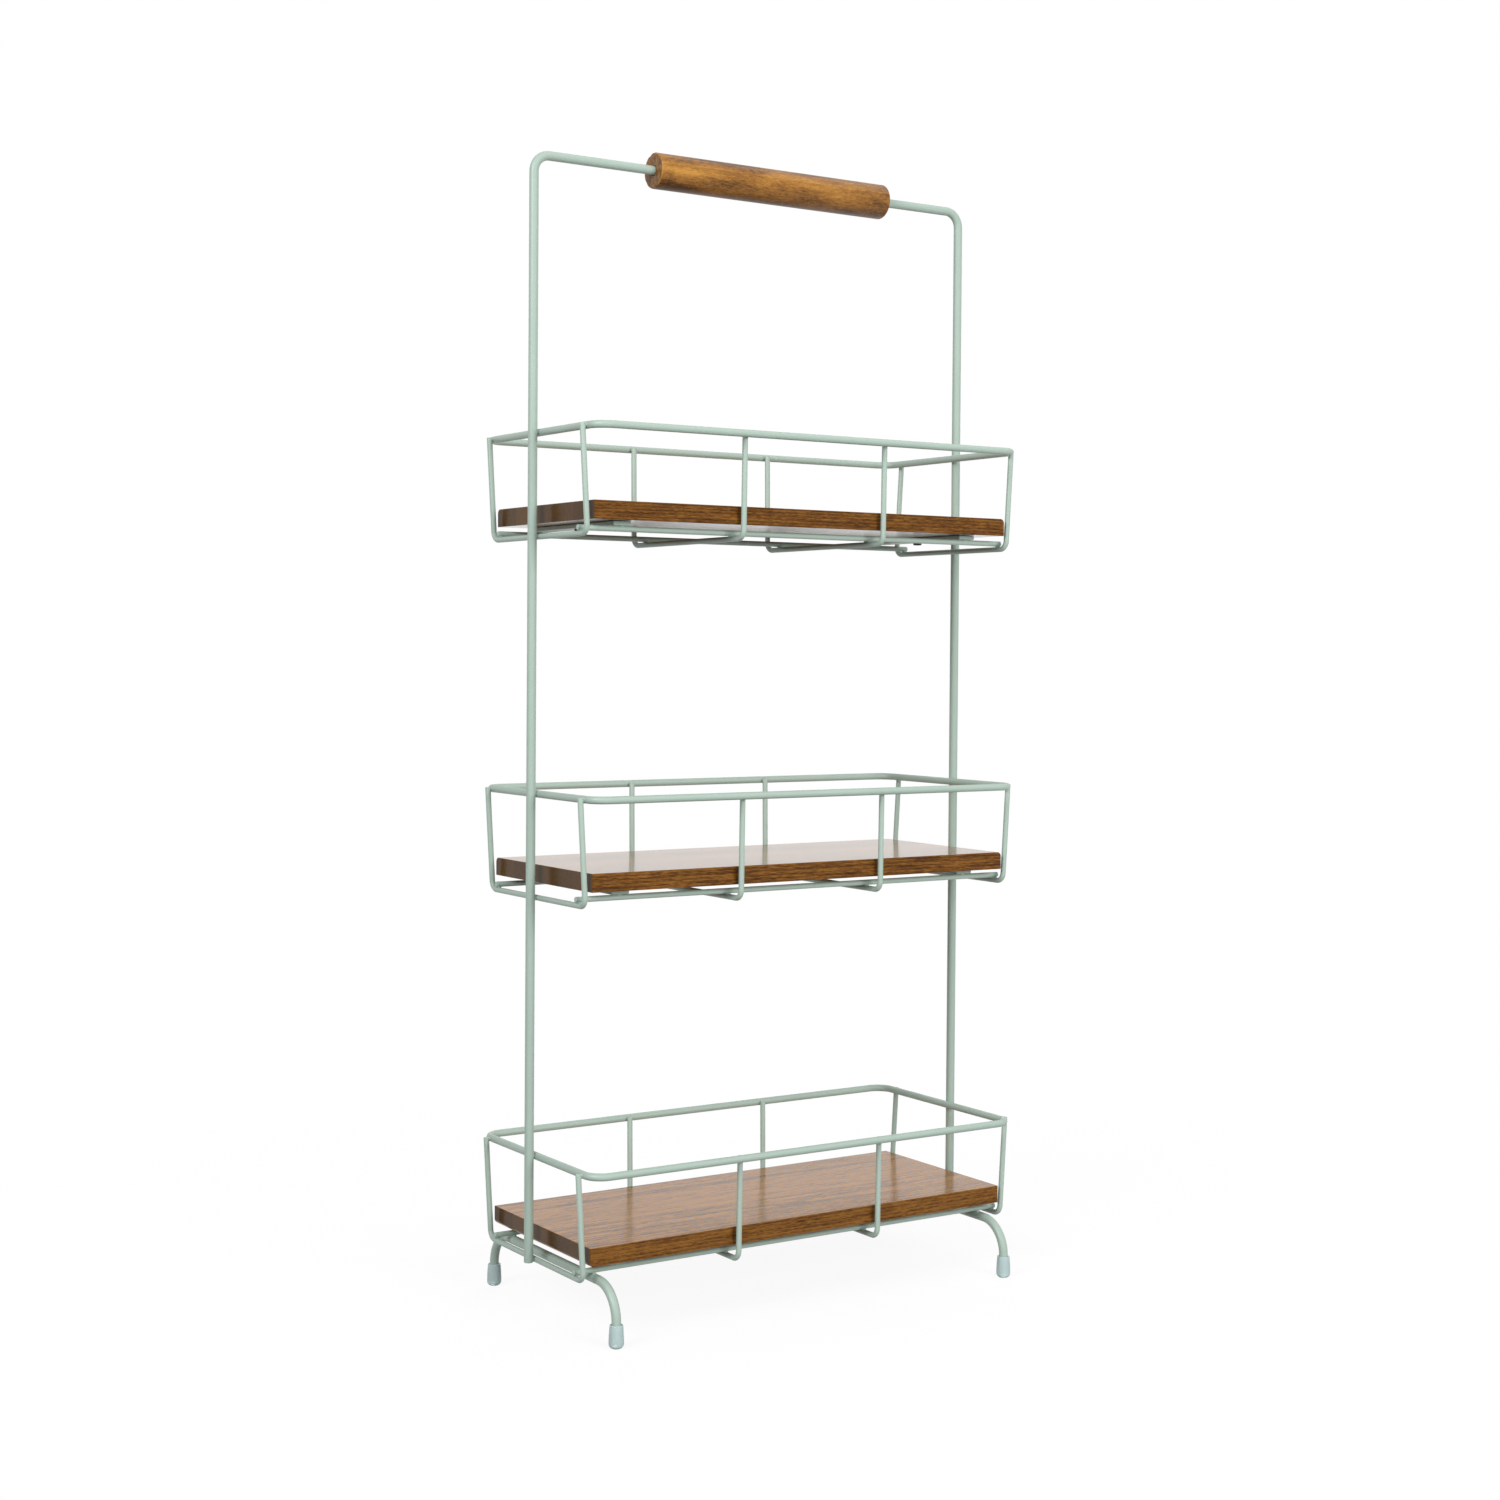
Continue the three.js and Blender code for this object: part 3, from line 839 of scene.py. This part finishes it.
class SHELF_STAND_OT_boards(bpy.types.Operator):
    """Cuts the boards, rounds two edges of each, eases the others and drills the underside"""

    bl_idname = "shelf_stand.boards"
    bl_label = "Boards"

    def execute(self, context):
        boards = context.scene.shelf_stand.boards
        for tier in TIERS:
            node = f"{tier}_board"
            low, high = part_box(node)
            bm = slab(low, high)
            # The bottom board lies the other way up.
            rounded = low.z if tier == "bottom" else high.z
            rear = self.edge_at(bm, Vector((0, high.y, rounded)))
            end = self.edge_at(bm, Vector((low.x if tier == "bottom" else high.x, 0, rounded)))
            round_off(bm, [rear, end], boards.round_edge, segments=6)
            round_off(bm, sharp_edges(bm), boards.edge, segments=4)
            mark_arrises(bm)
            self.drill(bm, low.z, [f"{tier}_screw_{side}" for side in LEFT_RIGHT], boards)
            piece = add_piece(f"{node}_staves", bm, "board_wood", "stand", node)
            keep_flats(piece)
        return {"FINISHED"}

    def edge_at(self, bm, place):
        """The edge whose middle is nearest to place."""
        return min(bm.edges, key=lambda e: ((e.verts[0].co + e.verts[1].co) / 2 - place).length)

    def drill(self, bm, bottom, screws, boards):
        """Drills a blind hole for each screw in the underside."""
        face = min(bm.faces, key=lambda f: abs(f.calc_center_median().z - bottom))
        places = [Vector((box_middle(s).x, box_middle(s).y, bottom)) for s in screws]
        for rim in pierce(bm, face, places, boards.pilot / 2):
            bmesh.ops.contextual_create(bm, geom=pull(bm, rim, Z_AXIS * boards.pilot_depth))


RECESS_TAPER = 0.72  # width of a cross recess at its bottom, as a share of that at its mouth


class SHELF_STAND_OT_screws(bpy.types.Operator):
    """Turns the pan-head screws and presses the cross recess in their heads"""

    bl_idname = "shelf_stand.screws"
    bl_label = "Screws"

    def execute(self, context):
        screws = context.scene.shelf_stand.screws
        for tier in TIERS:
            for side in LEFT_RIGHT:
                node = f"{tier}_screw_{side}"
                add_piece(f"{node}_pan", self.turned_screw(node, screws), "black_screw", "stand", node)
        return {"FINISHED"}

    def turned_screw(self, node, screws):
        low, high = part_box(node)
        axis = box_middle(node)
        head = (high.x - low.x) / 2
        seat = low.z + screws.head_height
        profile = [
            (screws.crown / 2, low.z),
            (head, low.z),
            (head, seat),
            (screws.shank / 2, seat),
            (screws.shank / 2, high.z - screws.point),
            (0, high.z),
        ]
        bm, verts = draw_profile([(axis.x + r, axis.y, z) for r, z in profile])
        round_off(bm, [verts[1]], screws.dome, segments=4, affect="VERTICES")
        spin_profile(bm, axis, Z_AXIS, steps=24)
        crown = [v for v in bm.verts if abs(v.co.z - low.z) < MERGE and v.is_boundary]
        crown = [v for v in crown if (v.co - axis).xy.length < screws.crown / 2 + MERGE]
        self.press_recess(bm, loop_edges(crown), Vector((axis.x, axis.y, low.z)), screws)
        return bm

    def press_recess(self, bm, crown, place, screws):
        """A cross of five squares, pressed into the crown."""
        grid = bmesh.ops.create_grid(
            bm, x_segments=3, y_segments=3, size=screws.recess / 2, matrix=Matrix.Translation(place),
        )["verts"]
        faces = list({f for v in grid for f in v.link_faces})
        # Of nine squares, only the four corner ones are off the middle both ways.
        corners = [f for f in faces if min(abs(c) for c in (f.calc_center_median() - place).xy) > MERGE]
        bmesh.ops.delete(bm, geom=corners, context="FACES")
        cross = [f for f in faces if f.is_valid]
        verts = list({v for f in cross for v in f.verts})
        outline = [e for e in loop_edges(verts) if e.is_boundary]
        made = bmesh.ops.extrude_face_region(bm, geom=cross)["geom"]
        bottom = [g for g in made if isinstance(g, bmesh.types.BMVert)]
        bmesh.ops.delete(bm, geom=[f for f in cross if f.is_valid], context="FACES_ONLY")
        bmesh.ops.scale(
            bm, vec=(RECESS_TAPER, RECESS_TAPER, 1), space=Matrix.Translation(-place), verts=bottom,
        )
        bmesh.ops.translate(bm, vec=Z_AXIS * screws.recess_depth, verts=bottom)
        bmesh.ops.triangle_fill(bm, use_beauty=True, edges=crown + outline)


class SHELF_STAND_OT_legs(bpy.types.Operator):
    """Bends the two low arches that the stand stands on"""

    bl_idname = "shelf_stand.legs"
    bl_label = "Legs"

    def execute(self, context):
        bend = context.scene.shelf_stand.wires.leg_bend
        for side in LEFT_RIGHT:
            node = f"leg_{side}"
            low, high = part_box(node)
            tip = Vector((box_middle(node).x, high.y - MAIN_WIRE / 2, low.z))
            corner = Vector((tip.x, tip.y, high.z - MAIN_WIRE / 2))
            bm = bend_wire(u_shape(tip, corner, Y_AXIS), bend, MAIN_WIRE)
            add_piece(f"{node}_wire", bm, "sage_paint", "stand", node)
        return {"FINISHED"}


class SHELF_STAND_OT_foot_caps(bpy.types.Operator):
    """Moulds the four soft caps that sit on the ends of the legs"""

    bl_idname = "shelf_stand.foot_caps"
    bl_label = "Foot caps"

    def execute(self, context):
        caps = context.scene.shelf_stand.caps
        for side in LEFT_RIGHT:
            for place in FRONT_REAR:
                node = f"foot_cap_{side}_{place}"
                add_piece(f"{node}_sleeve", self.moulded_cap(node, caps), "foot_cap", "stand", node)
        return {"FINISHED"}

    def moulded_cap(self, node, caps):
        low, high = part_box(node)
        axis = box_middle(node)
        socket = MAIN_WIRE / 2 + caps.fit
        profile = [
            (0, low.z),
            ((high.x - low.x) / 2, low.z),
            (caps.belly / 2, axis.z),
            (caps.mouth / 2, high.z),
            (socket, high.z),
            (socket, low.z + caps.floor),
            (0, low.z + caps.floor),
        ]
        bm, verts = draw_profile([(axis.x + r, axis.y, z) for r, z in profile])
        heel, belly, lip, inner_lip = verts[1:5]
        round_off(bm, [heel], caps.heel, segments=8, affect="VERTICES")
        round_off(bm, [belly], caps.heel, segments=6, affect="VERTICES")
        round_off(bm, [lip, inner_lip], caps.lip, segments=3, affect="VERTICES")
        spin_profile(bm, axis, Z_AXIS, steps=40)
        return bm


KNOCK_SIZE = 5  # millimetres along the arris
KNOCK_FLOOR = 0.1  # noise, from -1 to 1, that is lower than this leaves the arris whole


class SHELF_STAND_OT_grip(bpy.types.Operator):
    """Turns the drilled grip, rounds its arrises and knocks the left one about"""

    bl_idname = "shelf_stand.grip"
    bl_label = "Carrying grip"

    def execute(self, context):
        grip = context.scene.shelf_stand.grip
        low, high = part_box("handle_grip")
        axis = box_middle("handle_grip")
        bore = MAIN_WIRE / 2 + grip.bore_play
        outer = (high.z - low.z) / 2
        profile = [(low.x, bore), (low.x, outer), (high.x, outer), (high.x, bore)]
        bm, verts = draw_profile([(x, axis.y, axis.z + r) for x, r in profile], closed=True)
        round_off(bm, verts[1:3], grip.edge, segments=5, affect="VERTICES")
        round_off(bm, [verts[0], verts[3]], grip.bore_edge, segments=3, affect="VERTICES")
        spin_profile(bm, axis, X_AXIS, steps=96)
        mark_arrises(bm, turned=True)
        self.knock_arris(bm, low.x, axis, outer, grip)
        add_piece("handle_grip_dowel", bm, "grip_wood", "grip", "handle_grip")
        return {"FINISHED"}

    def knock_arris(self, bm, end, axis, outer, grip):
        """Pushes parts of the left arris in, where the grip has been knocked."""
        reach = 1.5 * grip.edge  # a little past the rounding
        for vert in bm.verts:
            spoke = Vector((0, vert.co.y - axis.y, vert.co.z - axis.z))
            if vert.co.x - end < reach and spoke.length > outer - reach:
                knock = noise.noise(vert.co * per_metre(KNOCK_SIZE)) - KNOCK_FLOOR
                vert.co += (X_AXIS - spoke.normalized()) * max(0, knock) * grip.chip


class SHELF_STAND_OT_welds(bpy.types.Operator):
    """Lays a small painted weld wherever two wires, or a strip and a rail, touch"""

    bl_idname = "shelf_stand.welds"
    bl_label = "Welds"

    def execute(self, context):
        for tier in TIERS:
            bm = bmesh.new()
            self.weld_tray(bm, tier)
            if tier == "bottom":
                self.weld_legs(bm)
            add_piece(f"{tier}_tray_welds", bm, "sage_paint", "stand")
        return {"FINISHED"}

    def weld(self, bm, place, across):
        """A flattened bead at place, thin along the axis that runs across the joint."""
        wires = bpy.context.scene.shelf_stand.wires
        bead = Vector([wires.weld_depth if axis == across else wires.weld_spread for axis in "XYZ"])
        bmesh.ops.create_icosphere(
            bm, subdivisions=2, radius=1, matrix=Matrix.LocRotScale(place, None, bead),
        )

    def weld_tray(self, bm, tier):
        rim = box_middle(f"{tier}_rim")
        rim_reach = box_size(f"{tier}_rim") / 2
        rail_low, rail_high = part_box(f"{tier}_rail_rear")
        rail_y = (rail_low.y + rail_high.y) / 2
        end_low, end_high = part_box(f"{tier}_end_hoop_right")
        end_y = end_high.y - HOOP_WIRE / 2
        end_x = end_low.x + HOOP_WIRE / 2
        mid_x = box_middle(f"{tier}_mid_hoop_right").x
        strip_x = box_middle(f"{tier}_strip_right").x
        upright_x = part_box("carrying_frame")[1].x - MAIN_WIRE
        for x in LEFT_RIGHT.values():
            self.weld(bm, Vector((x * upright_x, 0, rim.z)), "X")
            self.weld(bm, Vector((x * upright_x, 0, end_low.z + HOOP_WIRE / 2)), "X")
            for y in FRONT_REAR.values():
                self.weld(bm, Vector((x * rim_reach.x, y * end_y, rim.z)), "X")
                self.weld(bm, Vector((x * mid_x, y * (rim_reach.y - RIM_WIRE), rim.z)), "Y")
                self.weld(bm, Vector((x * end_x, y * rail_y, rail_low.z)), "Z")
                self.weld(bm, Vector((x * mid_x, y * rail_y, rail_low.z)), "Z")
                self.weld(bm, Vector((x * strip_x, y * rail_y, rail_high.z)), "Z")

    def weld_legs(self, bm):
        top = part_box("leg_right")[1].z
        x = box_middle("leg_right").x
        y = box_middle("bottom_rail_rear").y
        for right in LEFT_RIGHT.values():
            for rear in FRONT_REAR.values():
                self.weld(bm, Vector((right * x, rear * y, top)), "Z")


# Name, place and width in metres, watts, and whether shiny faces mirror it. The low ones in front and
# behind are not mirrored, because a board's top would show them as a white glare.
SOFTBOXES = (
    ("left_softbox", (-2.2, -0.8, 1.7), 1.2, 44, True),
    ("front_softbox", (0.2, -2.3, 1.0), 1.2, 45, False),
    ("overhead_softbox", (1.2, -0.1, 2.4), 1.5, 5, True),
    ("rear_softbox", (1.4, 1.9, 0.8), 1.6, 32, False),
)
FLOOR_REACH = 6  # metres from the middle of the floor to its sides
SHADE_FADE = (0.2, 0.8)  # metres from the middle between which the floor's shade fades out
SENSOR_WIDTH = 36  # millimetres


class SHELF_STAND_OT_stage(bpy.types.Operator):
    """Sets up the white floor, the soft light and the camera of the photograph"""

    bl_idname = "shelf_stand.stage"
    bl_label = "Stage"

    def execute(self, context):
        settings = context.scene.shelf_stand
        self.add_floor(settings)
        self.light_world(context.scene, settings)
        for softbox in SOFTBOXES:
            self.hang_softbox(*softbox, context.scene)
        self.place_camera(context.scene, settings.stage)
        context.scene.view_settings.view_transform = "Standard"
        return {"FINISHED"}

    def seen_directly(self, tree):
        """1 for a ray from the camera, or one that it follows by mirror or glass, and else 0."""
        ray = add_node(tree, "ShaderNodeLightPath").outputs
        mirror = (ray["Is Camera Ray"], ray["Is Glossy Ray"])
        direct = add_node(tree, "ShaderNodeMath", mirror, operation="MAXIMUM")
        glass = (direct, ray["Is Transmission Ray"])
        return add_node(tree, "ShaderNodeMath", glass, operation="MAXIMUM")

    def add_floor(self, settings):
        """A wide floor that looks white, keeps a trace of the stand's shade and throws light up."""
        bm = bmesh.new()
        bmesh.ops.create_grid(bm, x_segments=1, y_segments=1, size=FLOOR_REACH)
        mesh = bpy.data.meshes.new("studio_floor")
        bm.to_mesh(mesh)
        bm.free()
        floor = bpy.data.objects.new("studio_floor", mesh)
        bpy.context.scene.collection.objects.link(floor)
        material = bpy.data.materials.new("white_paper")
        material.use_nodes = True
        tree = material.node_tree
        tree.nodes.remove(tree.nodes["Principled BSDF"])
        seen = self.seen_directly(tree)
        bounce = {"Value": seen, "To Min": settings.stage.bounce, "To Max": 1.0}
        tint = add_node(tree, "ShaderNodeMapRange", bounce)
        paper = add_node(tree, "ShaderNodeBsdfDiffuse", {"Color": tint})
        white = add_node(tree, "ShaderNodeEmission", {"Color": settings.finishes.floor})
        # The shade fades out round the stand, so that no horizon shows.
        place = add_node(tree, "ShaderNodeTexCoord").outputs["Object"]
        away = add_node(tree, "ShaderNodeVectorMath", (place,), operation="LENGTH")
        whiteness = add_node(
            tree, "ShaderNodeMapRange",
            {
                "Value": away, "From Min": SHADE_FADE[0], "From Max": SHADE_FADE[1],
                "To Min": 1 - settings.stage.shadow, "To Max": 1.0,
            },
        )
        share = add_node(tree, "ShaderNodeMath", (seen, whiteness), operation="MULTIPLY")
        mixed = add_node(tree, "ShaderNodeMixShader", (share, paper, white))
        fill_inputs(tree, tree.nodes["Material Output"], {"Surface": mixed})
        mesh.materials.append(material)

    def light_world(self, scene, settings):
        """White where it is seen, and a softer light on the stand."""
        scene.world = bpy.data.worlds.new("white_studio")
        scene.world.use_nodes = True
        tree = scene.world.node_tree
        ambient = {"Value": self.seen_directly(tree), "To Min": settings.stage.ambient, "To Max": 1.0}
        strength = add_node(tree, "ShaderNodeMapRange", ambient)
        sky = {"Color": settings.finishes.floor, "Strength": strength}
        fill_inputs(tree, tree.nodes["Background"], sky)

    def hang_softbox(self, name, place, width, watts, mirrored, scene):
        """A square area lamp, turned to the middle of the stand."""
        lamp = bpy.data.lights.new(name, "AREA")
        lamp.size = width
        lamp.energy = watts
        softbox = bpy.data.objects.new(name, lamp)
        softbox.location = place
        middle = (cad_box[0] + cad_box[1]) / 2
        softbox.rotation_euler = (middle - softbox.location).to_track_quat("-Z", "Y").to_euler()
        softbox.visible_camera = False
        softbox.visible_glossy = mirrored
        scene.collection.objects.link(softbox)

    def place_camera(self, scene, stage):
        view = Vector((
            math.sin(stage.azimuth) * math.cos(stage.elevation),
            math.cos(stage.azimuth) * math.cos(stage.elevation),
            -math.sin(stage.elevation),
        ))
        right = Vector((math.cos(stage.azimuth), -math.sin(stage.azimuth), 0))
        upright = Matrix((right, right.cross(view), -view)).transposed()
        camera = bpy.data.objects.new("photo_camera", bpy.data.cameras.new("photo_camera"))
        place = Vector(stage.target) - view * stage.distance
        turn = upright @ Matrix.Rotation(stage.roll, 3, "Z")
        camera.matrix_world = Matrix.LocRotScale(place, turn, None)
        camera.data.sensor_width = SENSOR_WIDTH
        camera.data.lens = stage.lens
        camera.data.shift_y = stage.shift
        scene.collection.objects.link(camera)
        scene.camera = camera


class SHELF_STAND_PT_panel(bpy.types.Panel):
    """Lists the pieces of the shelf stand"""

    bl_idname = "SHELF_STAND_PT_panel"
    bl_label = "Shelf stand"
    bl_space_type = "VIEW_3D"
    bl_region_type = "UI"
    bl_category = "Shelf stand"

    def draw(self, context):
        for operator in OPERATORS:
            self.layout.operator(operator.bl_idname)


OPERATORS = (
    SHELF_STAND_OT_carrying_frame,
    SHELF_STAND_OT_rims,
    SHELF_STAND_OT_hoops,
    SHELF_STAND_OT_rails,
    SHELF_STAND_OT_strips,
    SHELF_STAND_OT_boards,
    SHELF_STAND_OT_screws,
    SHELF_STAND_OT_legs,
    SHELF_STAND_OT_foot_caps,
    SHELF_STAND_OT_grip,
    SHELF_STAND_OT_welds,
    SHELF_STAND_OT_stage,
)
GROUPS = (
    WireSettings,
    StripSettings,
    BoardSettings,
    GripSettings,
    CapSettings,
    ScrewSettings,
    FinishSettings,
    StageSettings,
    ShelfStandSettings,
)
CLASSES = (*GROUPS, *OPERATORS, SHELF_STAND_PT_panel)


def register():
    for cls in CLASSES:
        bpy.utils.register_class(cls)
    bpy.types.Scene.shelf_stand = PointerProperty(type=ShelfStandSettings)


def unregister():
    del bpy.types.Scene.shelf_stand
    for cls in reversed(CLASSES):
        bpy.utils.unregister_class(cls)


def main():
    register()
    bpy.ops.shelf_stand.carrying_frame()
    bpy.ops.shelf_stand.rims()
    bpy.ops.shelf_stand.hoops()
    bpy.ops.shelf_stand.rails()
    bpy.ops.shelf_stand.strips()
    bpy.ops.shelf_stand.boards()
    bpy.ops.shelf_stand.screws()
    bpy.ops.shelf_stand.legs()
    bpy.ops.shelf_stand.foot_caps()
    bpy.ops.shelf_stand.grip()
    bpy.ops.shelf_stand.welds()
    bpy.ops.shelf_stand.stage()


if __name__ == "__main__":
    main()
